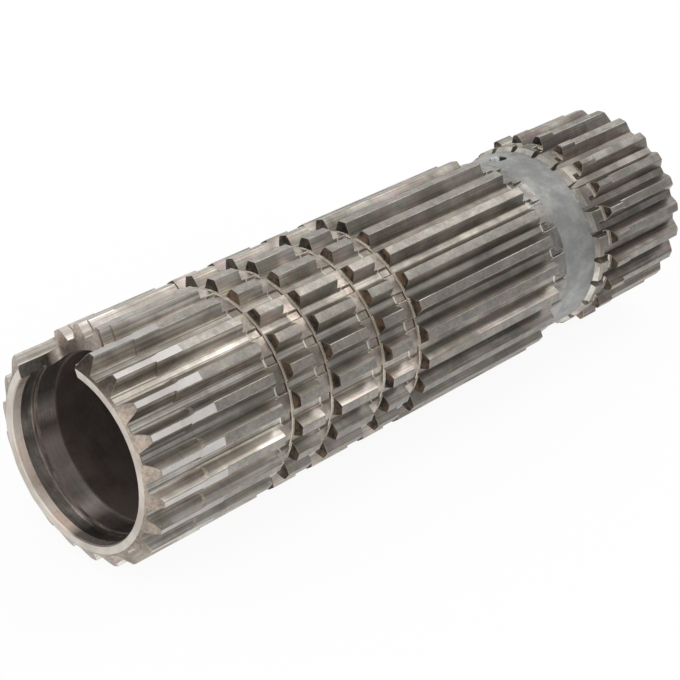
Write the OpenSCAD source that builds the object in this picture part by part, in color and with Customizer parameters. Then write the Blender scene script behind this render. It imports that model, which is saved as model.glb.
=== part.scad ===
// Hollow splined main shaft of a gearbox, turned and then cut with one row of
// spline teeth. The axis runs along +X from the front face, +Z is up, and the
// shaft lies on two teeth.

/* [Spline] */
// Number of teeth round the shaft
teeth = 22; // [18:1:28]
// Outside diameter of the long spline
spline_d = 76.2; // [75:0.1:78]
// Pitch circle diameter of the long spline
pitch_d = 69.85; // [69:0.05:71]
// Pressure angle of the involute flanks
pressure_angle = 25; // [22:0.5:28]
// Share of each pitch that is tooth, at the pitch circle
tooth_share = 0.635; // [0.55:0.005:0.66]
// Floor diameter of the tooth spaces in the toothed blocks
root_d = 67.4; // [66.6:0.1:68]
// Floor diameter of the shallower spaces under the grooves
groove_root_d = 68.1; // [67.8:0.1:68.4]
// How much wider each tooth stands under the grooves, per side
groove_stock = 0.25; // [0.1:0.05:0.4]
// How far each deep tooth space runs past the rear end of its block
space_overrun = 1.5; // [0.8:0.1:2.5]

/* [Toothed blocks] */
// Length of the front block
front_block = 55.4; // [50:0.1:60]
// Length of the second block
second_block = 10.6; // [8:0.1:14]
// Length of the third block
third_block = 17.6; // [14:0.1:22]
// Length of the fourth block
fourth_block = 10.5; // [8:0.1:14]
// Length of the long block
long_block = 72.1; // [60:0.1:90]
// Width of each turned groove between two blocks
groove_w = 7.7; // [6:0.1:9]
// Diameter of the tooth stubs left in the grooves
stub_d = 70.0; // [69.4:0.1:71]
// Width of the undercut ring at the foot of each tooth face
ring_w = 2.0; // [1.6:0.1:2.6]
// Floor diameter of the undercut ring
ring_d = 66.6; // [66:0.1:67.2]

/* [Front end] */
// How far the ground lands at the front stand above the other lands
ground_rise = 0.25; // [0.05:0.05:0.4]
// Length of the ground lands, from the front face
ground_len = 29.7; // [26:0.1:40]
// Length over which the teeth are narrowed
narrow_len = 19.0; // [12:0.1:22]
// How much the narrowed teeth lose per side
narrow_cut = 0.45; // [0.2:0.05:0.6]
// Radius of the cutter that ends the narrowed length
narrow_cutter_r = 10; // [8:0.5:14]
// Outer diameter of the flat front face
face_d = 65.6; // [63:0.1:66.4]
// Length of the bevel on the tooth ends at the front
front_bevel = 3.2; // [2:0.1:4.5]
// Width of the milled notch in the front rim
notch_w = 30; // [24:0.5:34]
// Depth of the notch from the front face
notch_depth = 15; // [13:0.5:17]
// Corner radius at the bottom of the notch
notch_corner = 5; // [3:0.5:7]

/* [Bore] */
// Diameter of the bearing seat and of the lip
seat_d = 59.8; // [58:0.1:60.5]
// Length of the lip behind the front face
lip_len = 3.6; // [2.5:0.1:5]
// Depth of the relief behind the lip, per side
lip_relief = 0.45; // [0.2:0.05:0.6]
// Distance from the front face to the retaining ring groove
clip_at = 9.0; // [8:0.1:10]
// Width of the narrow land in front of the ring groove
clip_land = 0.7; // [0.4:0.1:1.2]
// Width of the retaining ring groove
clip_w = 1.3; // [1:0.1:1.8]
// Depth of the retaining ring groove, per side
clip_depth = 0.9; // [0.5:0.05:1.1]
// Depth of the bearing seat from the front face
seat_depth = 17.5; // [15:0.1:20]
// Diameter of the pocket behind the seat
pocket_d = 58.0; // [55:0.1:58]
// Depth of the pocket from the front face
pocket_depth = 45; // [42:0.5:60]
// Diameter of the through bore
bore_d = 40; // [30:0.5:50]

/* [Journal] */
// Length of the stubs between the long block and the journal
stub_len = 8.0; // [5:0.1:12]
// Diameter of the smooth journal
journal_d = 68.5; // [68.3:0.1:69.5]
// Length of the journal
journal_len = 18.2; // [14:0.1:26]
// Radius of the cutter that ends the tooth spaces before the journal
journal_cutter_r = 28; // [16:1:40]
// Diameter of the radial oil hole
oil_hole_d = 6.5; // [4:0.5:9]
// Angle of the oil hole from the top, towards the notch side
oil_hole_angle = 14.5; // [0:0.5:40]

/* [Rear block] */
// Outside diameter of the rear spline
rear_d = 73.8; // [73:0.1:75]
// How far the taller tooth ends next to the journal stand above the rear teeth
rear_shoulder_rise = 1.0; // [0.6:0.1:1.3]
// Length of the taller tooth ends
rear_shoulder = 8.0; // [5:0.1:12]
// Pitch circle diameter of the rear spline
rear_pitch_d = 67.6; // [67:0.05:68.2]
// Floor diameter of the rear tooth spaces
rear_root_d = 65.4; // [64.8:0.1:66]
// Diameter of the rear stubs
rear_stub_d = 71.4; // [70.6:0.1:72]
// Length of the rear stubs between the journal and the tooth faces
rear_stub_len = 9.8; // [8:0.1:14]
// Width of the rear undercut ring
rear_ring_w = 3.0; // [2:0.1:3.6]
// Length of the rear teeth
rear_block = 43; // [36:0.5:60]
// Length of the bevel on the tooth ends at the rear
rear_bevel = 2.7; // [1.5:0.1:4]
// How far the rear bevel reaches below the floor of the tooth spaces
rear_bevel_under = 0.6; // [0.2:0.1:1.2]
// Length of the full-depth tooth spaces in front of the rear tooth faces
rear_space_lead = 6; // [4:0.5:8]
// Radius of the cutter that starts the rear tooth spaces
rear_cutter_r = 8; // [6:0.5:12]

/* [Edges] */
// Small chamfer on the edges of the bore and the oil hole
edge = 0.4; // [0.2:0.1:0.6]

/* [Hidden] */
$fn = 96;

tooth_pitch = 360 / teeth;
// flank points between the floor and the land of a tooth space
flank_steps = 2;
// cutters reach this far past the surfaces that they open
past = 1.2;
// length of the slope at the front of an undercut ring, as a share of its width
ring_slope = 0.2;
// length of the chamfer behind the journal, as a share of its height
stub_chamfer = 1.1;

// stations along the axis
second_at = front_block + groove_w;
third_at = second_at + second_block + groove_w;
fourth_at = third_at + third_block + groove_w;
long_at = fourth_at + fourth_block + groove_w;
long_end = long_at + long_block;
journal_at = long_end + stub_len;
journal_end = journal_at + journal_len;
rear_at = journal_end + rear_stub_len;
shaft_end = rear_at + rear_block;

// start and length of each toothed block in front of the journal
blocks = [[0, front_block], [second_at, second_block], [third_at, third_block],
          [fourth_at, fourth_block], [long_at, long_block]];

spline_r = spline_d / 2;
ground_r = spline_r + ground_rise;
rear_r = rear_d / 2;
rear_shoulder_r = rear_r + rear_shoulder_rise;
top_r = max(ground_r, stub_d / 2);
rear_top_r = max(rear_shoulder_r, rear_stub_d / 2);
ring_r = ring_d / 2;

// involute of an angle, in degrees
function inv(a) = tan(a) * 180 / PI - a;
// half angle of a tooth at radius r, on a pitch circle of radius pr
function half_tooth(r, pr) =
    let (rb = pr * cos(pressure_angle))
    tooth_pitch * tooth_share / 2 + inv(pressure_angle) - inv(acos(rb / max(r, rb)));
// half width of the space between two teeth at radius r
function half_space(r, pr, more) =
    r * sin(tooth_pitch / 2 - half_tooth(r, pr)) + more;
// one flank of a space, as [half width, radius] from the floor outwards
function flank(floor_r, rim_r, pr, more) =
    [for (i = [0:flank_steps])
        let (r = floor_r + (rim_r - floor_r) * i / flank_steps)
        [half_space(r, pr, more), r]];
function mirrored(pts) = [for (i = [len(pts) - 1:-1:0]) [-pts[i][0], pts[i][1]]];

// quarter round from the floor of a ring up to a wall, as [radius, station]
function wall_round(floor_r, wall_x, r) =
    [for (a = [0:30:90]) [floor_r + r - r * cos(a), wall_x - r + r * sin(a)]];

// puts a cutter into every tooth space; the space at the top comes first
module each_space() {
    for (k = [0:teeth - 1]) rotate([k * tooth_pitch, 0, 0]) children();
}

// straight cut along one tooth space, from station x0 to x1
module space_bar(x0, x1, floor_r, rim_r, pr, more) {
    side = flank(floor_r, rim_r + past, pr, more);
    translate([x0, 0, 0]) rotate([90, 0, 90])
        linear_extrude(x1 - x0) polygon(concat(side, mirrored(side)));
}

// disc cutter of radius rc that rounds off the end of a tooth space at station x
module space_runout(x, floor_r, rim_r, pr, more, rc) {
    centre_r = floor_r + rc;
    rim_above = rim_r + past > centre_r;
    side = flank(floor_r, min(rim_r + past, centre_r), pr, more);
    half = [for (p = side) [centre_r - p[1], p[0]]];
    translate([x, 0, centre_r]) rotate([90, 0, 0]) rotate_extrude()
        polygon(concat([[0, 0], [rc, 0]], half, rim_above ? [] : [[0, side[flank_steps][0]]]));
    // a rim above the centre of the cutter is opened straight up
    if (rim_above) space_bar(x - rc, x + rc, centre_r, rim_r, pr, more);
}

// outline of the blank in front of the journal, as [radius, station]
function block_outline(i) =
    let (x0 = blocks[i][0], x1 = x0 + blocks[i][1])
    concat(
        i == 0
            ? [[face_d / 2, 0], [ground_r, front_bevel],
               [ground_r, ground_len], [spline_r, ground_len]]
            : concat([[stub_d / 2, x0 - ring_w], [ring_r, x0 - ring_w * (1 - ring_slope)]],
                     wall_round(ring_r, x0, ring_w / 2), [[spline_r, x0]]),
        [[spline_r, x1], [stub_d / 2, x1]]);

// the turned blank, solid inside
module blank() {
    front = [for (i = [0:len(blocks) - 1]) each block_outline(i)];
    stub_r = rear_stub_d / 2;
    rise = abs(stub_r - journal_d / 2);
    rear = concat(
        [[stub_d / 2, journal_at], [journal_d / 2, journal_at],
         [journal_d / 2, journal_end], [stub_r, journal_end + rise * stub_chamfer],
         [stub_r, rear_at - rear_ring_w],
         [ring_r, rear_at - rear_ring_w * (1 - ring_slope)]],
        wall_round(ring_r, rear_at, rear_ring_w / 2),
        [[rear_shoulder_r, rear_at], [rear_shoulder_r, rear_at + rear_shoulder],
         [rear_r, rear_at + rear_shoulder], [rear_r, shaft_end - rear_bevel],
         [rear_root_d / 2 - rear_bevel_under, shaft_end], [0, shaft_end]]);
    rotate([0, 90, 0]) rotate_extrude()
        polygon(concat([[0, 0]], front, rear));
}

// every tooth space of the long spline and of the rear spline
module tooth_spaces() {
    pr = pitch_d / 2;
    rear_pr = rear_pitch_d / 2;
    each_space() {
        // deep spaces, one length for each block
        for (b = blocks)
            space_bar(b[0] - ring_w / 2, b[0] + b[1] + space_overrun, root_d / 2, top_r, pr, 0);
        // shallower spaces that join them under the grooves
        for (i = [0:len(blocks) - 2])
            space_bar(blocks[i][0] + blocks[i][1], blocks[i + 1][0] - ring_w / 2,
                      groove_root_d / 2, top_r, pr, -groove_stock);
        space_bar(long_end, journal_at - stub_len / 2,
                  groove_root_d / 2, top_r, pr, -groove_stock);
        space_runout(journal_at - stub_len / 2, groove_root_d / 2, top_r, pr,
                     -groove_stock, journal_cutter_r);
        // wider spaces that narrow the teeth at the front
        space_bar(-past, narrow_len, root_d / 2, top_r, pr, narrow_cut);
        space_runout(narrow_len, root_d / 2, top_r, pr, narrow_cut, narrow_cutter_r);
        // rear spaces, which begin with a rounded end in the journal
        space_bar(rear_at - rear_space_lead, shaft_end + past, rear_root_d / 2,
                  rear_top_r, rear_pr, 0);
        space_runout(rear_at - rear_space_lead, rear_root_d / 2, rear_top_r,
                     rear_pr, 0, rear_cutter_r);
    }
}

// everything bored from the ends, as one turned shape
module bore() {
    seat_r = seat_d / 2;
    bore_r = bore_d / 2;
    throat = (pocket_d - bore_d) / 2;
    rotate([0, 90, 0]) rotate_extrude()
        polygon([[0, -past], [seat_r + edge, -past], [seat_r + edge, 0], [seat_r, edge],
                 [seat_r, lip_len], [seat_r + lip_relief, lip_len],
                 [seat_r + lip_relief, clip_at - clip_land], [seat_r, clip_at - clip_land],
                 [seat_r, clip_at], [seat_r + clip_depth, clip_at],
                 [seat_r + clip_depth, clip_at + clip_w], [seat_r, clip_at + clip_w],
                 [seat_r, seat_depth], [pocket_d / 2, seat_depth],
                 [pocket_d / 2, pocket_depth], [bore_r, pocket_depth + throat],
                 [bore_r, shaft_end - 2 * edge], [bore_r + 2 * edge, shaft_end],
                 [bore_r + 2 * edge, shaft_end + past], [0, shaft_end + past]]);
}

// notch milled through the front rim, centred on a tooth
module notch() {
    flat = notch_depth - notch_corner;
    // the cutter starts inside the bore and ends above the teeth
    low = seat_d / 4;
    rotate([-1.5 * tooth_pitch, 0, 0]) translate([0, 0, low]) {
        translate([-past, -notch_w / 2, 0]) cube([flat + past, notch_w, top_r]);
        translate([-past, -notch_w / 2 + notch_corner, 0])
            cube([notch_depth + past, notch_w - 2 * notch_corner, top_r]);
        for (s = [-1, 1]) translate([flat, s * (notch_w / 2 - notch_corner), 0])
            cylinder(h = top_r, r = notch_corner);
    }
}

// radial oil hole in the middle of the journal, with a broken edge
module oil_hole() {
    r = oil_hole_d / 2;
    top = journal_d / 2;
    translate([(journal_at + journal_end) / 2, 0, 0]) rotate([-oil_hole_angle, 0, 0])
        rotate_extrude()
            polygon([[0, 0], [r, 0], [r, top - edge], [r + 2 * edge, top + edge], [0, top + edge]]);
}

module main_shaft() {
    color([0.60, 0.58, 0.55]) difference() {
        blank();
        tooth_spaces();
        bore();
        notch();
        oil_hole();
    }
}

main_shaft();
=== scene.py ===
import math

import bmesh
import bpy
from mathutils import Matrix, Vector


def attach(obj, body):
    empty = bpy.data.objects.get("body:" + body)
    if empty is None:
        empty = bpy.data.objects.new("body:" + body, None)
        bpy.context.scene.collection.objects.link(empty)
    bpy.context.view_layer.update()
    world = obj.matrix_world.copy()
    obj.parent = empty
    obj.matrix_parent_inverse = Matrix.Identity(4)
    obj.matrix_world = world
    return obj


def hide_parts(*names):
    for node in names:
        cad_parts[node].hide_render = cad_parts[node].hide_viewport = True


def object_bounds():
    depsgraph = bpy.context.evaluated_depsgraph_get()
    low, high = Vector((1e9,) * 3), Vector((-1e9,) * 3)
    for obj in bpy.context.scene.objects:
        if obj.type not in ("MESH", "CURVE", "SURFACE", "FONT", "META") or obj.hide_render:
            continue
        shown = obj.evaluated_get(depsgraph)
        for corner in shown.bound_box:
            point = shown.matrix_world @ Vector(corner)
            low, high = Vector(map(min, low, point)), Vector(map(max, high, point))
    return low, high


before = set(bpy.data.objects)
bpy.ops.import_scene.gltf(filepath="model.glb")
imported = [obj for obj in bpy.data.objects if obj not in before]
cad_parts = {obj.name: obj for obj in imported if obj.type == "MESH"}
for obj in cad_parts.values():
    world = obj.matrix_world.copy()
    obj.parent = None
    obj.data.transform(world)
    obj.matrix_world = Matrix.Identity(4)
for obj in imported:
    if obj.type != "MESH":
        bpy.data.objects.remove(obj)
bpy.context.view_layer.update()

MM = 0.001

# ---------------------------------------------------------------- sizes
# Stations along the axis from the front face, radii and widths, in millimetres.

# the bore, from its mouth inwards
lip_end = 3.6
relief_end = 8.3
relief_slope = 0.2
ring_groove_start, ring_groove_end = 9.0, 10.3
seat_end = 17.5
seat_chamfer = 0.4
bore_wall_r = 31.2                # all walls of the bore lie inside this radius

# the shaft's outside, from the front to the rear
front_face_x = 0.05               # faces before this station are the front face
front_bevel_end = 3.6
runout_tip_start, runout_tip_end = 18.8, 23.0
ground_end = 29.7
groove_spans = [(55.4, 63.1), (73.7, 81.4), (99.0, 106.7), (117.2, 124.9)]
groove_lip = 0.3                  # a groove's finish goes this far past its ends
front_floor_end = 56.4            # the polished floors run on into the first groove
deep_space_ends = [56.9, 75.2, 100.5, 118.7, 198.5]
step_slope = 0.35                 # how far the end of a deep space slopes
long_block_end = 197.0
stub_end = 205.0
journal_end = 223.2
rear_block_start = 233.0
rear_block_gap = 0.2              # faces this far before the rear block belong to it
ring_width = 3.2                  # the undercut ring at the foot of a tooth's front face
rear_face_x = 276.0
rear_face_reach = 5.0             # end faces this near to the rear belong to the rear face

land_r = 38.1
land_low_r = 37.5                 # lands lie outside this radius
tooth_foot_r = 35.1               # end faces inside this radius are steps, not teeth
stub_r = 35.0
runout_floor_r = 34.6             # the bright part of a run-out lies outside this radius
ring_top_r = 34.1                 # the other undercut rings lie inside this radius
root_r = 33.7
rear_ring_top_r = 35.2            # the slope of the rear ring lies inside this radius
rear_floor_r = 34.2               # rear floors lie inside this radius
rear_ring_bottom_r = 33.7

tooth_count = 22
# Painted shades and highlights run up a tooth between these radii.
spline_low, spline_high = 32.0, 39.0     # the radii between which shades run up a tooth

notch_width = 30.0
notch_depth = 15.0
notch_corner = 5.0
notch_floor_r = 29.0                     # its faces lie outside this radius
notch_slack = 0.5                        # its walls may lie this far inside its size
notch_turn = math.radians(24.55)         # from the top toward +Y

oil_hole_x = 214.1
oil_hole_d = 6.5
oil_hole_floor_r = 21.0                  # its wall lies outside this radius
oil_hole_turn = math.radians(14.5)       # from the top toward +Y

# How near a face lies to a station or a radius that it belongs to.
touch = 0.1
hair = 0.05

# Which way a face looks, told by the part of its normal in one direction.
end_on = 0.9                      # along the axis: the two end faces
tooth_end_on = 0.8                # along the axis: the ends of teeth, which may lean
ring_slope = 0.5                  # along the axis: the slopes of the undercut rings
bevel_slope = 0.3                 # along the axis: the bevelled tooth ends at the front
step_lean = 0.2                   # along the axis: the steps where deep spaces end
wall_lean = 0.15                  # along the axis: the most for a wall of the notch
runout_lean = 0.12                # along the axis: the cutter's run-outs
slight_lean = 0.1                 # along the axis: anything that isn't straight
corner_lean = 0.02                # along the axis: the least for the notch's back
flat_out = 0.93                   # away from the axis: lands and floors
ring_out = 0.6                    # away from the axis: the bottom of the rear ring
hole_out = 0.8                    # away from the axis: the most in the oil hole
bore_out = 0.2                    # away from the axis: the most in the bore
square_on = 0.98                  # across the notch: its walls

# The mesh clean-up, the broken edges and the end slopes of the deep spaces.
weld_gap = 0.002
flat_angle = math.radians(0.3)
edge_break = 0.12
edge_break_angle = math.radians(34)
shortest_broken_edge = 0.26
smooth_angle = math.radians(22)
edge_keep_out = 0.2               # no edge is broken this near to the journal's ends
tip_height = 0.5                  # nor this near to the root at the tip of a run-out
next_station = 1.0                # the top of a step goes on to the rear for more than this
step_overlap = 0.5                # and to the front for less than this


# ---------------------------------------------------------------- helpers

def srgb(red, green, blue):
    """A colour as it is read off a screen, 0 to 255, made linear."""
    def linear(channel):
        c = channel / 255
        return c / 12.92 if c <= 0.04045 else ((c + 0.055) / 1.055) ** 2.4
    return (linear(red), linear(green), linear(blue), 1.0)


def grey(level):
    """A linear grey, for a tone or for a shade that multiplies a colour."""
    return (level, level, level, 1.0)


def only(obj):
    """Selects one object and makes it the active one."""
    if bpy.context.object and bpy.context.object.mode != "OBJECT":
        bpy.ops.object.mode_set(mode="OBJECT")
    bpy.ops.object.select_all(action="DESELECT")
    obj.select_set(True)
    bpy.context.view_layer.objects.active = obj


def turned(y, z, turn):
    """How far a point lies across and up, for a view that is turned toward +Y."""
    return (y * math.cos(turn) - z * math.sin(turn), y * math.sin(turn) + z * math.cos(turn))


# ---------------------------------------------------------------- materials

def node(tree, kind, *links, **values):
    """Adds a shader node, sets its properties and sockets, and links its inputs."""
    made = tree.nodes.new(kind)
    for key, value in values.items():
        if key.startswith("in_"):
            name = key[3:].replace("_", " ")
            made.inputs[int(name) if name.isdigit() else name].default_value = value
        else:
            setattr(made, key, value)
    for socket, source in links:
        tree.links.new(source, made.inputs[socket])
    return made


def ramp(tree, source, low, high, low_value=0.0, high_value=1.0):
    """Turns a pattern between low and high into a smooth step."""
    return node(tree, "ShaderNodeMapRange", ("Value", source), interpolation_type="SMOOTHSTEP",
                in_From_Min=low, in_From_Max=high, in_To_Min=low_value,
                in_To_Max=high_value).outputs["Result"]


def colour_socket(sockets, name):
    """The colour socket of a Mix node, which has sockets of one name for several types."""
    return [s for s in sockets if s.name == name and s.type == "RGBA"][0]


def blend_colour(tree, amount, under, over, way="MIX"):
    """Mixes two colours by a pattern. Each of the three is a socket or a plain value."""
    mix = node(tree, "ShaderNodeMix", data_type="RGBA", blend_type=way)
    for socket, source in ((mix.inputs["Factor"], amount),
                           (colour_socket(mix.inputs, "A"), under),
                           (colour_socket(mix.inputs, "B"), over)):
        if isinstance(source, (float, tuple)):
            socket.default_value = source
        else:
            tree.links.new(source, socket)
    return colour_socket(mix.outputs, "Result")


def painted_shade_row(tree, colour, source, low, high, stops):
    """Multiplies a colour by a row of painted shades and highlights, placed from 0 to 1 between low
    and high.
    """
    spot = node(tree, "ShaderNodeMapRange", ("Value", source), in_From_Min=low, in_From_Max=high)
    row = node(tree, "ShaderNodeValToRGB", ("Fac", spot.outputs["Result"]))
    shades = row.color_ramp.elements
    shades[0].position, shades[0].color = stops[0][0], grey(stops[0][1])
    shades[1].position, shades[1].color = stops[-1][0], grey(stops[-1][1])
    for place, shade in stops[1:-1]:
        shades.new(place).color = grey(shade)
    return blend_colour(tree, 1.0, colour, row.outputs["Color"], "MULTIPLY")


def radius_about_axis(tree, place):
    """The distance from the shaft's axis, in metres."""
    across = node(tree, "ShaderNodeVectorMath", (0, place), operation="MULTIPLY",
                  in_1=(0.0, 1.0, 1.0))
    return node(tree, "ShaderNodeVectorMath", (0, across.outputs["Vector"]),
                operation="LENGTH").outputs["Value"]


def turn_about_axis(tree, place, up):
    """The angle about the axis toward +Y, from straight up, or from straight down with up -1."""
    split = node(tree, "ShaderNodeSeparateXYZ", (0, place))
    rise = node(tree, "ShaderNodeMath", (0, split.outputs["Z"]), operation="MULTIPLY", in_1=up)
    return node(tree, "ShaderNodeMath", (0, split.outputs["Y"]), (1, rise.outputs["Value"]),
                operation="ARCTAN2").outputs["Value"]


# Directions across and along the shaft, for sweeps of painted shade; the one across the oil hole
# places its painted highlight and shade.
ALONG = (1.0, 0.0, 0.0)
SIDEWAYS = (0.0, 1.0, 0.0)
UPWARDS = (0.0, 0.0, 1.0)
UP_AND_SIDEWAYS = (0.0, -0.78, 0.62)     # up and toward -Y
ACROSS_HOLE = (0.72, -0.668, 0.1725)     # across the oil hole, as a line in its wall
hole_place = 154.14                      # the hole's middle along that line

# Tool marks run round the axis on turned and ground faces, along it in the tooth
# spaces, and every way on faces that are only cleaned. Lines a metre, along X, Y and Z.
GRAIN = {
    "turned": (2600.0, 90.0, 90.0),
    "hobbed": (28.0, 2300.0, 2300.0),
    "drawn": (12.0, 850.0, 850.0),
    "plain": (900.0, 900.0, 900.0),
}
faced_grain = 2400.0                     # rings a metre on end faces
tool_mark_depth = 0.06                   # mm, as the bump sees it

# A finish is built on noise. Its seed moves it, and these are the patterns' sizes as
# multiples of the clouds, and the noise values between which each pattern sets in.
seed_step = (0.37, 0.61, 0.83)
blotches_per_cloud = 2.7
oxide_per_cloud = 6.0
cloud_range = (0.36, 0.64)
blotch_range = (0.50, 0.78)
oxide_range = (0.2, 0.8)
line_range = (0.25, 0.75)
scuff_range = (0.66, 0.80)
gloss_range = (0.3, 0.7)
scuff_tone = srgb(225, 220, 212)


def grain_lines(tree, place, shifted, grain):
    """The tool marks of a finish."""
    if grain == "faced":
        return node(tree, "ShaderNodeTexNoise", ("W", radius_about_axis(tree, place)),
                    noise_dimensions="1D", in_Scale=faced_grain, in_Detail=3.0,
                    in_Roughness=0.55).outputs["Fac"]
    stretched = node(tree, "ShaderNodeMapping", ("Vector", shifted), in_Scale=GRAIN[grain])
    return node(tree, "ShaderNodeTexNoise", ("Vector", stretched.outputs["Vector"]),
                in_Scale=1.0, in_Detail=3.0, in_Roughness=0.55).outputs["Fac"]


def painted_light_by_place(tree, colour, place, by_radius, by_angle, by_turn, sweeps):
    """Paints shade and highlights into a colour: up the tooth, across its space, round the shaft
    and along sweeps.
    """
    # painted shade and highlight by the distance from the axis
    if by_radius:
        height = spline_high - spline_low
        colour = painted_shade_row(tree, colour, radius_about_axis(tree, place),
                           spline_low * MM, spline_high * MM,
                           [((r - spline_low) / height, shade) for r, shade in by_radius])
    # painted highlight and shade across the floor of a tooth space
    if by_angle:
        # the turn from the nearest space's middle, where half a tooth's pitch is 0.5
        teeth = node(tree, "ShaderNodeMath", (0, turn_about_axis(tree, place, 1.0)),
                     operation="MULTIPLY", in_1=tooth_count / (2 * math.pi))
        offset = node(tree, "ShaderNodeMath", (0, teeth.outputs["Value"]), operation="PINGPONG",
                      in_1=0.5)
        colour = painted_shade_row(tree, colour, offset.outputs["Value"], 0.0, 0.5,
                           [(2 * v, shade) for v, shade in by_angle])
    # painted reflection and shade that change round the shaft
    if by_turn:
        first, last = by_turn[0][0], by_turn[-1][0]
        colour = painted_shade_row(tree, colour, turn_about_axis(tree, place, -1.0),
                           math.radians(first), math.radians(last),
                           [((t - first) / (last - first), shade) for t, shade in by_turn])
    # sweeps of painted shade along a direction
    for axis, low, high, far_colour in sweeps:
        reach = node(tree, "ShaderNodeVectorMath", (0, place), operation="DOT_PRODUCT", in_1=axis)
        rise = ramp(tree, reach.outputs["Value"], low * MM, high * MM)
        colour = blend_colour(tree, rise, colour, far_colour, "MULTIPLY")
    return colour


def steel_finish(name, bright, dull, stain, stain_amount=0.5, clouds=55.0, mottle=0.12,
                 grain="plain", grain_shade=0.25, marks=0.12, scuffs=0.3, scuff_size=1100.0,
                 roughness=(0.28, 0.45), metallic=1.0, seed=0.0,
                 by_radius=(), by_angle=(), by_turn=(), sweeps=()):
    """One machined finish: clouded colour, stains, tool marks, scuffs, bump, and painted light and
    shade.

    by_radius, by_angle and by_turn are rows of (place, painted shade), where a shade above 1
    is a painted highlight: radii in mm, parts of a tooth's pitch, and degrees from straight
    down toward +Y. A sweep of painted shade is a direction, the two places along it in mm
    between which it sets in, and the colour that it multiplies by.
    """
    made = bpy.data.materials.new(name)
    made.use_nodes = True
    tree = made.node_tree
    tree.nodes.clear()
    place = node(tree, "ShaderNodeTexCoord").outputs["Object"]
    shifted = node(tree, "ShaderNodeMapping", ("Vector", place),
                   in_Location=tuple(seed * step for step in seed_step)).outputs["Vector"]

    cloud = node(tree, "ShaderNodeTexNoise", ("Vector", shifted), in_Scale=clouds,
                 in_Detail=5.0, in_Roughness=0.62).outputs["Fac"]
    blotch = node(tree, "ShaderNodeTexNoise", ("Vector", shifted),
                  in_Scale=clouds * blotches_per_cloud, in_Detail=4.0, in_Roughness=0.7,
                  in_Distortion=0.6).outputs["Fac"]
    oxide = node(tree, "ShaderNodeTexNoise", ("Vector", shifted),
                 in_Scale=clouds * oxide_per_cloud, in_Detail=3.0,
                 in_Roughness=0.6).outputs["Color"]
    speck = node(tree, "ShaderNodeTexNoise", ("Vector", shifted), in_Scale=scuff_size,
                 in_Detail=2.0, in_Roughness=0.5).outputs["Fac"]
    lines = grain_lines(tree, place, shifted, grain)

    colour = blend_colour(tree, ramp(tree, cloud, *cloud_range), dull, bright)
    colour = blend_colour(tree, ramp(tree, blotch, *blotch_range, 0.0, stain_amount),
                          colour, stain)
    colour = blend_colour(tree, ramp(tree, cloud, *oxide_range, mottle * 0.5, mottle),
                          colour, oxide, "OVERLAY")
    line_shade = ramp(tree, lines, *line_range, 1.0 - grain_shade, 1.0 + grain_shade)
    colour = node(tree, "ShaderNodeVectorMath", (0, colour), ("Scale", line_shade),
                  operation="SCALE").outputs["Vector"]
    if scuffs:
        worn = ramp(tree, speck, *scuff_range, 0.0, scuffs)
        colour = blend_colour(tree, worn, colour, scuff_tone)
    colour = painted_light_by_place(tree, colour, place, by_radius, by_angle, by_turn, sweeps)

    rough = ramp(tree, cloud, *gloss_range, roughness[1], roughness[0])
    bump = node(tree, "ShaderNodeBump", ("Height", lines), in_Strength=marks,
                in_Distance=tool_mark_depth * MM)
    surface = node(tree, "ShaderNodeBsdfPrincipled", ("Base Color", colour), ("Roughness", rough),
                   ("Normal", bump.outputs["Normal"]), in_Metallic=metallic)
    node(tree, "ShaderNodeOutputMaterial", ("Surface", surface.outputs["BSDF"]))
    return made


beige_dull = srgb(140, 136, 130)
brown_stain = srgb(112, 94, 78)
deep_brown = srgb(74, 60, 48)

# Beside real colour, stains and wear, the by_radius, by_angle and by_turn rows and the sweeps below
# are painted light and shade, and the step and ring finishes are painted highlights and painted
# shade.
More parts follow.
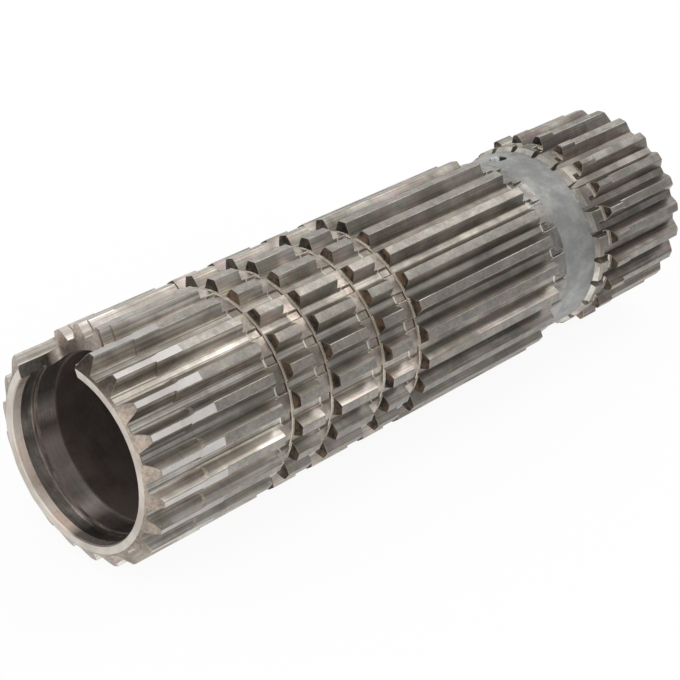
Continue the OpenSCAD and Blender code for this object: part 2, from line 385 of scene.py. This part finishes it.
FINISHES = {
    "worn_edge": dict(
        bright=srgb(187, 179, 168), dull=srgb(145, 136, 124), stain=brown_stain, stain_amount=0.25,
        scuffs=0.0, roughness=(0.3, 0.45)),
    "front_ring_ground": dict(
        bright=srgb(214, 206, 197), dull=srgb(190, 182, 172), stain=beige_dull, stain_amount=0.2,
        grain="faced", grain_shade=0.06, roughness=(0.3, 0.42)),
    # The lip: painted reflection and shade that change round the bore.
    "lip_turned": dict(
        bright=srgb(255, 245, 234), dull=srgb(246, 222, 204), stain=srgb(150, 128, 110),
        stain_amount=0.4, clouds=80.0, grain="turned", grain_shade=0.08, roughness=(0.2, 0.34),
        metallic=0.05, seed=1.0,
        by_turn=[(-55, 0.1), (0, 0.2), (10, 1.0), (24, 1.0), (45, 0.65), (65, 1.0), (125, 0.4)]),
    # The relief: painted reflection and shade that change round the bore.
    "relief_turned": dict(
        bright=srgb(244, 233, 224), dull=srgb(182, 173, 165), stain=deep_brown, clouds=90.0,
        grain="turned", grain_shade=0.3, metallic=0.7, seed=2.0,
        by_turn=[(0, 0.15), (15, 1.0), (30, 0.65), (48, 1.0), (72, 0.45), (82, 1.0), (95, 0.35)]),
    "ring_groove_turned": dict(
        bright=srgb(204, 190, 181), dull=srgb(154, 142, 134), stain=deep_brown, grain="turned",
        metallic=0.6, seed=3.0),
    # The bearing seat: painted reflection and shade that change round the bore.
    "bearing_seat_ground": dict(
        bright=srgb(255, 250, 244), dull=srgb(226, 208, 199), stain=deep_brown, stain_amount=0.3,
        clouds=60.0, grain="turned", grain_shade=0.14, roughness=(0.14, 0.26), metallic=0.45,
        seed=4.0,
        by_turn=[(-20, 0.1), (3, 0.25), (15, 1.0), (27, 0.45), (63, 0.7), (75, 0.25), (84, 0.65),
                 (100, 0.15)]),
    "deep_bore": dict(
        bright=srgb(118, 107, 102), dull=srgb(94, 84, 80), stain=srgb(70, 56, 50), grain="turned",
        grain_shade=0.1, scuffs=0.0, roughness=(0.35, 0.5), metallic=0.3, seed=5.0),
    "notch_wall_milled": dict(
        bright=srgb(141, 136, 131), dull=srgb(104, 99, 94), stain=deep_brown, clouds=120.0,
        metallic=0.6, seed=6.0),
    "notch_back_milled": dict(
        bright=srgb(190, 178, 168), dull=srgb(141, 130, 121), stain=brown_stain, clouds=90.0,
        roughness=(0.28, 0.42), seed=6.5),
    # The front bevels: painted reflection and shade round the shaft, and painted shade on the upper
    # ones.
    "front_bevel_turned": dict(
        bright=srgb(183, 169, 156), dull=srgb(151, 139, 128), stain=brown_stain, stain_amount=0.3,
        clouds=70.0, mottle=0.1, scuffs=0.1, seed=7.0,
        by_turn=[(-180, 0.65), (-150, 1.1), (-121, 1.4), (-91, 1.0), (-76, 0.85)],
        sweeps=[(UPWARDS, 25.0, 34.0, srgb(138, 136, 136))]),
    # The ground lands: painted reflection and shade round the shaft.
    "land_ground": dict(
        bright=srgb(228, 224, 221), dull=srgb(209, 205, 201), stain=beige_dull, stain_amount=0.3,
        grain="turned", grain_shade=0.025, marks=0.0, roughness=(0.5, 0.6), metallic=0.6, seed=8.0,
        by_turn=[(-180, 0.7), (-160, 0.94), (-121, 1.12), (-90, 0.92), (-76, 0.7), (-45, 0.9),
                 (120, 0.85), (155, 0.66)]),
    # The turned lands: painted shade round the shaft, and painted shade that grows toward the rear.
    "land_turned": dict(
        bright=srgb(186, 180, 172), dull=srgb(166, 162, 156), stain=srgb(118, 104, 90),
        stain_amount=0.42, clouds=130.0, mottle=0.28, grain_shade=0.12, marks=0.05,
        scuffs=0.35, roughness=(0.38, 0.46), seed=9.0,
        by_turn=[(-110, 1.05), (-90, 0.88), (-60, 0.65), (-30, 0.8), (10, 1.0)],
        sweeps=[(ALONG, 30.0, 150.0, grey(0.82))]),
    # The front flanks: painted shade up the flank with a painted glint at its foot, painted
    # reflection and shade round the shaft, and painted shade on the upper side toward -Y.
    "front_flank_polished": dict(
        bright=srgb(244, 237, 228), dull=srgb(201, 193, 182), stain=brown_stain, stain_amount=0.35,
        mottle=0.3, grain="drawn", grain_shade=0.42, marks=0.06, scuffs=0.1, roughness=(0.3, 0.42),
        seed=9.5,
        by_radius=[(33.6, 1.0), (34.1, 1.0), (34.5, 0.66), (36.3, 0.62), (37.2, 0.72),
                   (38.0, 0.86)],
        by_turn=[(-150, 0.87), (-120, 0.95), (-98, 1.4), (-76, 0.88), (-60, 1.1), (120, 1.1),
                 (160, 1.25)],
        sweeps=[(UP_AND_SIDEWAYS, 28.0, 35.0, grey(0.8))]),
    # The front floors: a painted highlight along the middle of each floor with painted shade near
    # the flanks, and painted reflection and shade round the shaft.
    "front_floor_polished": dict(
        bright=srgb(218, 213, 205), dull=srgb(181, 174, 165), stain=brown_stain, stain_amount=0.35,
        grain="drawn", grain_shade=0.38, marks=0.06, scuffs=0.1, roughness=(0.34, 0.46), seed=9.7,
        by_angle=[(0.0, 0.9), (0.03, 1.0), (0.07, 1.0), (0.085, 0.5), (0.11, 0.55), (0.131, 1.0)],
        by_turn=[(-160, 0.95), (-150, 1.2), (-132, 1.1), (-118, 0.95)]),
    # The hobbed flanks: painted shade up the flank with a painted glint at its foot, painted
    # reflection and shade round the shaft, painted shade on the upper side toward -Y and painted
    # shade toward the rear.
    "flank_hobbed": dict(
        bright=srgb(220, 211, 203), dull=srgb(176, 170, 159), stain=deep_brown, stain_amount=0.3,
        clouds=45.0, mottle=0.35, grain="hobbed", grain_shade=0.28, marks=0.06, scuffs=0.1,
        seed=10.0,
        by_radius=[(33.6, 1.0), (34.1, 1.0), (34.3, 0.76), (35.5, 0.8), (36.0, 0.85), (37.5, 0.85),
                   (38.0, 0.92)],
        by_turn=[(-180, 1.25), (-165, 0.95), (-120, 1.1), (-106, 1.4), (-84, 0.7), (-60, 1.0)],
        sweeps=[(UP_AND_SIDEWAYS, 28.0, 35.0, grey(0.74)), (ALONG, 60.0, 150.0, grey(0.66))]),
    # The space floors: a painted highlight along the middle of each floor with painted shade near
    # the flanks, painted reflection and shade round the shaft, and painted shade toward the rear.
    "space_floor": dict(
        bright=srgb(203, 197, 186), dull=srgb(163, 157, 150), stain=brown_stain, stain_amount=0.3,
        grain="hobbed", grain_shade=0.27, marks=0.05, scuffs=0.1, roughness=(0.32, 0.44), seed=11.0,
        by_angle=[(0.0, 0.96), (0.04, 1.0), (0.085, 1.0), (0.1, 0.62), (0.118, 0.55), (0.131, 0.8)],
        by_turn=[(-150, 0.9), (-135, 1.1), (-106, 1.0), (-92, 1.6), (-45, 1.0)],
        sweeps=[(ALONG, 60.0, 150.0, grey(0.7))]),
    # The tooth faces: dark brown, with painted shade round the shaft and a cooler painted shade on
    # the +Y side.
    "tooth_face_turned": dict(
        bright=srgb(171, 150, 131), dull=srgb(88, 85, 85), stain=srgb(128, 88, 56),
        stain_amount=0.6, clouds=260.0, grain="faced", scuffs=0.1, roughness=(0.4, 0.6), seed=12.0,
        by_turn=[(-166, 1.05), (-145, 1.3), (-91, 1.0), (-61, 0.6), (0, 1.0)],
        sweeps=[(SIDEWAYS, -4.0, 5.0, srgb(170, 178, 186))]),
    "runout_polished": dict(
        bright=srgb(239, 230, 216), dull=srgb(205, 194, 180), stain=brown_stain, stain_amount=0.15,
        seed=12.2),
    # The steps where deep spaces end and the end faces at the tooth foot: near white, a painted
    # highlight.
    "step_painted_highlight": dict(
        bright=srgb(255, 255, 251), dull=srgb(241, 236, 223), stain=brown_stain, stain_amount=0.15,
        clouds=120.0, grain_shade=0.1, roughness=(0.2, 0.3), metallic=0.75, seed=12.5),
    # The slopes of the undercut rings: a painted highlight.
    "ring_slope_painted_highlight": dict(
        bright=srgb(217, 207, 191), dull=srgb(191, 178, 160), stain=brown_stain, stain_amount=0.0,
        clouds=30.0, mottle=0.03, grain="turned", grain_shade=0.05, marks=0.03, scuffs=0.0,
        roughness=(0.2, 0.3), metallic=0.6, seed=12.7),
    # The bottoms and walls of the undercut rings: a painted shade.
    "ring_bottom_painted_shade": dict(
        bright=srgb(119, 99, 80), dull=srgb(89, 73, 60), stain=deep_brown, grain="turned",
        seed=12.8),
    "groove_turned": dict(
        bright=srgb(200, 189, 178), dull=srgb(154, 145, 137), stain=brown_stain, stain_amount=0.35,
        clouds=95.0, mottle=0.28, grain_shade=0.14, scuffs=0.15, seed=13.0),
    "stub_end_turned": dict(
        bright=srgb(158, 156, 152), dull=srgb(126, 124, 121), stain=brown_stain, stain_amount=0.3,
        clouds=95.0, grain_shade=0.12, scuffs=0.15, seed=13.3),
    "rear_chamfer_turned": dict(
        bright=srgb(222, 216, 206), dull=srgb(176, 169, 160), stain=brown_stain, clouds=95.0,
        grain="turned", grain_shade=0.1, scuffs=0.1, seed=13.5),
    "rear_stub_turned": dict(
        bright=srgb(158, 152, 144), dull=srgb(124, 119, 112), stain=brown_stain, stain_amount=0.35,
        clouds=95.0, grain="turned", grain_shade=0.1, scuffs=0.1, seed=13.7),
    # The journal: painted shade that grows toward its rear end.
    "journal_ground": dict(
        bright=srgb(169, 169, 166), dull=srgb(147, 148, 147), stain=srgb(134, 139, 148),
        stain_amount=0.45, clouds=100.0, mottle=0.14, grain_shade=0.05, marks=0.05,
        scuffs=0.6, scuff_size=240.0, roughness=(0.48, 0.6), metallic=0.7, seed=14.0,
        sweeps=[(ALONG, 214.0, 223.0, grey(0.84))]),
    # The oil hole's wall: near white, a painted highlight in the middle, with deep painted shade on
    # one side and lighter painted shade on the other.
    "oil_hole_drilled": dict(
        bright=srgb(255, 255, 255), dull=srgb(240, 238, 234), stain=deep_brown, stain_amount=0.1,
        clouds=160.0, roughness=(0.5, 0.6), metallic=0.0, seed=15.0,
        sweeps=[(ACROSS_HOLE, hole_place + 0.4, hole_place + 1.1, grey(0.05)),
                (ACROSS_HOLE, hole_place - 0.5, hole_place - 0.9, grey(0.8)),
                (ACROSS_HOLE, hole_place - 2.2, hole_place - 2.7, grey(0.3))]),
    # The rear lands: painted reflection and shade round the shaft.
    "rear_land_turned": dict(
        bright=srgb(164, 160, 153), dull=srgb(137, 134, 128), stain=brown_stain, stain_amount=0.42,
        clouds=120.0, mottle=0.28, grain_shade=0.09, marks=0.05,
        roughness=(0.48, 0.56), metallic=0.7, seed=16.0,
        by_turn=[(-166, 1.18), (-151, 0.86), (-106, 0.84), (-91, 1.02)]),
    # The rear flanks: painted reflection and shade round the shaft.
    "rear_flank_hobbed": dict(
        bright=srgb(148, 141, 136), dull=srgb(118, 111, 105), stain=deep_brown, stain_amount=0.3,
        clouds=50.0, mottle=0.35, grain="hobbed", grain_shade=0.34, marks=0.06, scuffs=0.1,
        seed=17.0,
        by_turn=[(-166, 1.25), (-151, 0.95), (-125, 1.15), (-91, 0.78), (-61, 1.3), (0, 1.1)]),
    "rear_floor": dict(
        bright=srgb(154, 149, 143), dull=srgb(121, 115, 109), stain=brown_stain, grain="hobbed",
        grain_shade=0.14, seed=18.0),
    "rear_face_turned": dict(
        bright=srgb(172, 167, 158), dull=srgb(146, 141, 134), stain=brown_stain, stain_amount=0.3,
        grain="faced", grain_shade=0.35, scuffs=0.1, seed=19.0),
}
finish_order = list(FINISHES)
shop = {name: steel_finish(name, **values) for name, values in FINISHES.items()}


# ---------------------------------------------------------------- the shaft

def near_hole(x, y, z):
    """True in the wall of the oil hole and above it."""
    across = turned(y, z, oil_hole_turn)[0]
    return z > 0 and math.hypot(x - oil_hole_x, across) < oil_hole_d / 2 + touch


def notch_finish(x, y, z, normal, radius):
    """The finish of a milled face of the notch, or nothing for any other face."""
    across, up = turned(y, z, notch_turn)
    if (x < notch_depth + touch and up > 0 and radius > notch_floor_r
            and abs(across) < notch_width / 2 + touch):
        sideways = abs(turned(normal.y, normal.z, notch_turn)[0])
        if (sideways > square_on and abs(normal.x) < wall_lean
                and abs(across) > notch_width / 2 - notch_slack):
            return "notch_wall_milled"
        if (x > notch_depth - notch_corner - notch_slack
                and abs(normal.x) + sideways > square_on and normal.x < -corner_lean):
            return "notch_back_milled"
    return None


def bore_finish(x):
    """The finish of a face of the bore at station x."""
    if x < lip_end:
        return "lip_turned"
    if x < relief_end + relief_slope:
        return "relief_turned"
    if ring_groove_start - hair < x < ring_groove_end + hair:
        return "ring_groove_turned"
    if x < seat_end - seat_chamfer:
        return "bearing_seat_ground"
    return "deep_bore"


def rear_finish(x, radius, along, outward):
    """The finish of a face of the rear teeth."""
    if abs(along) > tooth_end_on:
        if x > rear_face_x - rear_face_reach:
            return "rear_face_turned"
        # end faces at the tooth foot get the painted highlight of the steps
        return "tooth_face_turned" if radius > tooth_foot_r else "step_painted_highlight"
    if outward > flat_out:
        return "rear_land_turned" if radius > rear_floor_r else "rear_floor"
    return "rear_flank_hobbed"


def journal_finish(x, radius, along, outward):
    """The finish of a face from the journal to the ring before the rear teeth."""
    # the rear ring: a painted highlight on its slope and painted shade in its bottom
    if x > rear_block_start - ring_width:
        if radius < rear_ring_top_r and along < -ring_slope:
            return "ring_slope_painted_highlight"
        if radius < rear_ring_bottom_r and outward > ring_out:
            return "ring_bottom_painted_shade"
    if x > journal_end:
        return "rear_chamfer_turned" if along < -slight_lean else "rear_stub_turned"
    return "journal_ground"


def spline_finish(x, radius, along, outward):
    """The finish of a face of the teeth, grooves and stubs before the journal."""
    if runout_tip_start < x < runout_tip_end and abs(along) > runout_lean:
        return "runout_polished" if radius > runout_floor_r else "front_flank_polished"
    # the steps and the end faces at the tooth foot get a painted highlight
    if along < -step_lean and any(-touch < x - end < step_slope + touch
                                  for end in deep_space_ends):
        return "step_painted_highlight"
    if abs(along) > tooth_end_on:
        return "tooth_face_turned" if radius > tooth_foot_r else "step_painted_highlight"
    # the undercut rings: a painted highlight on their slope and painted shade in their bottom
    if radius < ring_top_r and any(end - ring_width <= x <= end + touch
                                   for start, end in groove_spans):
        if along < -ring_slope:
            return "ring_slope_painted_highlight"
        if abs(along) > slight_lean or radius < root_r - touch:
            return "ring_bottom_painted_shade"
    if outward > flat_out:
        if radius > land_r + touch and x < ground_end + touch:
            return "land_ground"
        if radius > land_low_r:
            return "land_turned"
        if x > long_block_end:
            return "stub_end_turned"
        if any(start - groove_lip <= x <= end + groove_lip for start, end in groove_spans):
            return "groove_turned"
        return "front_floor_polished" if x < front_floor_end else "space_floor"
    if x > long_block_end + touch:
        return "stub_end_turned"
    if any(start - touch <= x <= end + touch for start, end in groove_spans):
        return "groove_turned"
    return "front_flank_polished" if x < groove_spans[0][0] else "flank_hobbed"


def finish_of(centre, normal, radius):
    """The finish of a face, told by its place, its normal and its mean radius."""
    x, y, z = (c / MM for c in centre)
    middle = math.hypot(y, z)
    outward = (normal.y * y + normal.z * z) / middle if middle else 0.0
    along = normal.x

    milled = notch_finish(x, y, z, normal, radius)
    if milled:
        return milled
    if radius < bore_wall_r and outward < bore_out and front_face_x < x < rear_face_x - hair:
        in_hole = near_hole(x, y, z) and radius > oil_hole_floor_r
        return "oil_hole_drilled" if in_hole else bore_finish(x)
    if along < -end_on and x < front_face_x:
        return "front_ring_ground"
    if along > end_on and x > rear_face_x - hair:
        return "rear_face_turned"
    if abs(outward) < hole_out and near_hole(x, y, z):
        return "oil_hole_drilled"
    if x < front_bevel_end and -end_on < along < -bevel_slope:
        return "front_bevel_turned"
    if x > rear_block_start - rear_block_gap:
        return rear_finish(x, radius, along, outward)
    if x >= stub_end:
        return journal_finish(x, radius, along, outward)
    return spline_finish(x, radius, along, outward)


def can_be_broken(edge):
    """False at the sharp tips of the run-outs, at the oil hole and at the journal's ends."""
    x, y, z = (c / MM for c in (edge.verts[0].co + edge.verts[1].co) / 2)
    radius = math.hypot(y, z)
    at_tip = runout_tip_start < x < runout_tip_end and radius < root_r + tip_height
    hole_y = radius * math.sin(oil_hole_turn)
    at_hole = z > 0 and math.hypot(x - oil_hole_x, y - hole_y) < oil_hole_d
    at_end = min(abs(x - stub_end), abs(x - journal_end)) < edge_keep_out
    at_step = (min(abs(x - end) for end in deep_space_ends) < step_slope + touch
               and radius < stub_r + touch)
    return not (at_tip or at_hole or at_end or at_step)


def slope_the_steps(shaft):
    """Turns the small steps where the deep spaces end into slopes that catch the light."""
    bpy.ops.mesh.select_mode(type="FACE")
    bpy.ops.mesh.select_all(action="DESELECT")
    work = bmesh.from_edit_mesh(shaft.data)
    for face in work.faces:
        middle = face.calc_center_median() / MM
        if (face.normal.x < -end_on and math.hypot(middle.y, middle.z) < stub_r
                and min(abs(middle.x - end) for end in deep_space_ends) < touch):
            face.select = True
    bmesh.update_edit_mesh(shaft.data)
    bpy.ops.mesh.quads_convert_to_tris(quad_method="BEAUTY", ngon_method="BEAUTY")
    work = bmesh.from_edit_mesh(shaft.data)
    upper = []
    for vertex in work.verts:
        x = vertex.co.x / MM
        if (min(abs(x - end) for end in deep_space_ends) < touch
                and any(face.select for face in vertex.link_faces)):
            ways = [edge.other_vert(vertex).co.x / MM - x for edge in vertex.link_edges]
            if max(ways) > next_station and min(ways) > -step_overlap:
                upper.append(vertex)
    for vertex in upper:
        vertex.co.x += step_slope * MM
    bmesh.update_edit_mesh(shaft.data)


def break_the_edges(shaft, edge_slot):
    """Breaks the outside edges of the teeth, where they are long enough for it."""
    bpy.ops.mesh.select_mode(type="EDGE")
    bpy.ops.mesh.select_all(action="DESELECT")
    work = bmesh.from_edit_mesh(shaft.data)
    for edge in work.edges:
        shortest = min(near.calc_length() for v in edge.verts for near in v.link_edges)
        outside = min(math.hypot(v.co.y, v.co.z) for v in edge.verts) > bore_wall_r * MM
        if (outside and shortest > shortest_broken_edge * MM and can_be_broken(edge)
                and edge.calc_face_angle_signed() > edge_break_angle):
            edge.select = True
    bmesh.update_edit_mesh(shaft.data)
    bpy.ops.mesh.bevel(offset=edge_break * MM, offset_type="OFFSET", segments=1,
                       affect="EDGES", clamp_overlap=False, material=edge_slot)


def finished_shaft(cad):
    """A welded copy of the CAD shaft with broken edges and its finishes."""
    shaft = bpy.data.objects.new("splined_main_shaft", cad.data.copy())
    bpy.context.scene.collection.objects.link(shaft)
    only(shaft)
    shaft.data.materials.clear()
    for name in finish_order:
        shaft.data.materials.append(shop[name])
    edge_slot = finish_order.index("worn_edge")
    other_slot = finish_order.index("flank_hobbed")
    shaft.data.polygons.foreach_set("material_index", [other_slot] * len(shaft.data.polygons))

    bpy.ops.object.mode_set(mode="EDIT")
    bpy.ops.mesh.select_mode(type="VERT")
    bpy.ops.mesh.select_all(action="SELECT")
    bpy.ops.mesh.customdata_custom_splitnormals_clear()
    bpy.ops.mesh.remove_doubles(threshold=weld_gap * MM)
    bpy.ops.mesh.dissolve_limited(angle_limit=flat_angle)
    slope_the_steps(shaft)
    break_the_edges(shaft, edge_slot)
    bpy.ops.object.mode_set(mode="OBJECT")

    corners = [math.hypot(v.co.y, v.co.z) / MM for v in shaft.data.vertices]
    for face in shaft.data.polygons:
        if face.material_index != edge_slot:
            radius = sum(corners[i] for i in face.vertices) / len(face.vertices)
            face.material_index = finish_order.index(finish_of(face.center, face.normal, radius))
    bpy.ops.object.shade_smooth_by_angle(angle=smooth_angle)
    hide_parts("main_shaft")
    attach(shaft, "root")


finished_shaft(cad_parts["main_shaft"])


# ---------------------------------------------------------------- stage

# the floor: what it shows of its own white, and where its mirror image gets dimmer
floor_side = 8.0
floor_middle = 0.14
floor_white_share = 0.92
floor_paint = grey(0.94)
floor_dim_start, floor_dim_end = -0.08, -0.26
floor_dim_tone = grey(0.4)

# the room: white, with a dimmer ceiling and a dimmer side toward -Y
white = grey(1.0)
room_fill = 1.0
ceiling_start = 0.2
ceiling_tone = grey(0.55)
open_side_start, open_side_end = -0.1, -0.75
open_side_tone = grey(0.34)

# the key lamp, where the top faces of the shaft mirror it toward the photo's side
shaft_middle = Vector((0.138, 0.0, 0.0))
key_along = 0.6485
key_across = math.sqrt(1 - key_along ** 2)
key_turn = math.radians(8.0)
key_distance = 1.0
key_side = 0.55
key_power = 1.3
key_colour = (1.0, 0.97, 0.93)

# the camera, from the fit to the photo: place in mm, frame, and lens for a 36 mm sensor
camera_place = Vector((-333.424, -401.507, 346.438)) * MM
camera_right = Vector((0.682466, -0.729195, 0.050152))
camera_up = Vector((0.337095, 0.374890, 0.863611))
camera_sensor = 36.0
camera_lens = 105.99
camera_nearest, camera_farthest = 0.01, 20.0


def studio_ray(tree):
    """1 for rays that should see the white studio: camera, glossy and transmission."""
    path = node(tree, "ShaderNodeLightPath")
    seen = node(tree, "ShaderNodeMath", (0, path.outputs["Is Camera Ray"]),
                (1, path.outputs["Is Glossy Ray"]), operation="MAXIMUM")
    both = node(tree, "ShaderNodeMath", (0, seen.outputs["Value"]),
                (1, path.outputs["Is Transmission Ray"]), operation="MAXIMUM")
    return both.outputs["Value"]


def pale_floor():
    """A plain white table under the shaft, which keeps a faint shadow."""
    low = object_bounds()[0].z
    bpy.ops.object.select_all(action="DESELECT")
    bpy.ops.mesh.primitive_plane_add(size=floor_side, location=(floor_middle, 0.0, low))
    floor = bpy.context.object
    floor.name = "studio_floor"
    paint = bpy.data.materials.new("studio_paint")
    paint.use_nodes = True
    tree = paint.node_tree
    tree.nodes.clear()
    place = node(tree, "ShaderNodeTexCoord").outputs["Object"]
    paper = node(tree, "ShaderNodeTexNoise", ("Vector", place), in_Scale=6.0).outputs["Fac"]
    matt = node(tree, "ShaderNodeBsdfDiffuse", ("Roughness", ramp(tree, paper, 0.3, 0.7, 0.4, 0.6)),
                in_Color=floor_paint)
    sideways = node(tree, "ShaderNodeSeparateXYZ", (0, place)).outputs["Y"]
    dim = ramp(tree, sideways, floor_dim_end, floor_dim_start, 1.0, 0.0)
    mirrored = node(tree, "ShaderNodeLightPath").outputs["Is Glossy Ray"]
    amount = node(tree, "ShaderNodeMath", (0, dim), (1, mirrored), operation="MULTIPLY")
    tone = blend_colour(tree, amount.outputs["Value"], white, floor_dim_tone)
    glow = node(tree, "ShaderNodeEmission", ("Color", tone))
    share = node(tree, "ShaderNodeMath", (0, studio_ray(tree)), operation="MULTIPLY",
                 in_1=floor_white_share)
    mix = node(tree, "ShaderNodeMixShader", (0, share.outputs["Value"]), (1, matt.outputs["BSDF"]),
               (2, glow.outputs["Emission"]))
    node(tree, "ShaderNodeOutputMaterial", ("Surface", mix.outputs["Shader"]))
    floor.data.materials.append(paint)


def white_room():
    """White for what is seen and mirrored, and a level fill for what is lit."""
    world = bpy.data.worlds.new("studio")
    bpy.context.scene.world = world
    world.use_nodes = True
    tree = world.node_tree
    tree.nodes.clear()
    fill = node(tree, "ShaderNodeBackground", in_Color=white, in_Strength=room_fill)
    way = node(tree, "ShaderNodeTexCoord").outputs["Generated"]
    split = node(tree, "ShaderNodeSeparateXYZ", (0, way))
    overhead = ramp(tree, split.outputs["Z"], ceiling_start, 1.0)
    tone = blend_colour(tree, overhead, white, ceiling_tone)
    open_side = ramp(tree, split.outputs["Y"], open_side_end, open_side_start, 1.0, 0.0)
    tone = blend_colour(tree, open_side, tone, open_side_tone)
    seen = node(tree, "ShaderNodeBackground", ("Color", tone), in_Strength=1.0)
    mix = node(tree, "ShaderNodeMixShader", (0, studio_ray(tree)),
               (1, fill.outputs["Background"]), (2, seen.outputs["Background"]))
    node(tree, "ShaderNodeOutputWorld", ("Surface", mix.outputs["Shader"]))


def key_lamp():
    """A soft square lamp above the shaft, which looks at its middle."""
    data = bpy.data.lights.new("key_lamp", "AREA")
    data.size = key_side
    data.energy = key_power
    data.color = key_colour
    lamp = bpy.data.objects.new("key_lamp", data)
    away = Vector((key_along, -key_across * math.sin(key_turn),
                   key_across * math.cos(key_turn))).normalized()
    lamp.location = shaft_middle + away * key_distance
    lamp.rotation_euler = away.to_track_quat("Z", "Y").to_euler()
    bpy.context.scene.collection.objects.link(lamp)


def photo_camera():
    """The camera at the photo's place and angle."""
    lens = bpy.data.cameras.new("photo_camera")
    lens.sensor_width = camera_sensor
    lens.lens = camera_lens
    lens.clip_start, lens.clip_end = camera_nearest, camera_farthest
    camera = bpy.data.objects.new("photo_camera", lens)
    turn = Matrix((camera_right, camera_up, camera_right.cross(camera_up))).transposed()
    camera.matrix_world = Matrix.Translation(camera_place) @ turn.to_4x4()
    bpy.context.scene.collection.objects.link(camera)
    bpy.context.scene.camera = camera


white_room()
pale_floor()
key_lamp()
photo_camera()
bpy.context.scene.view_settings.view_transform = "Standard"
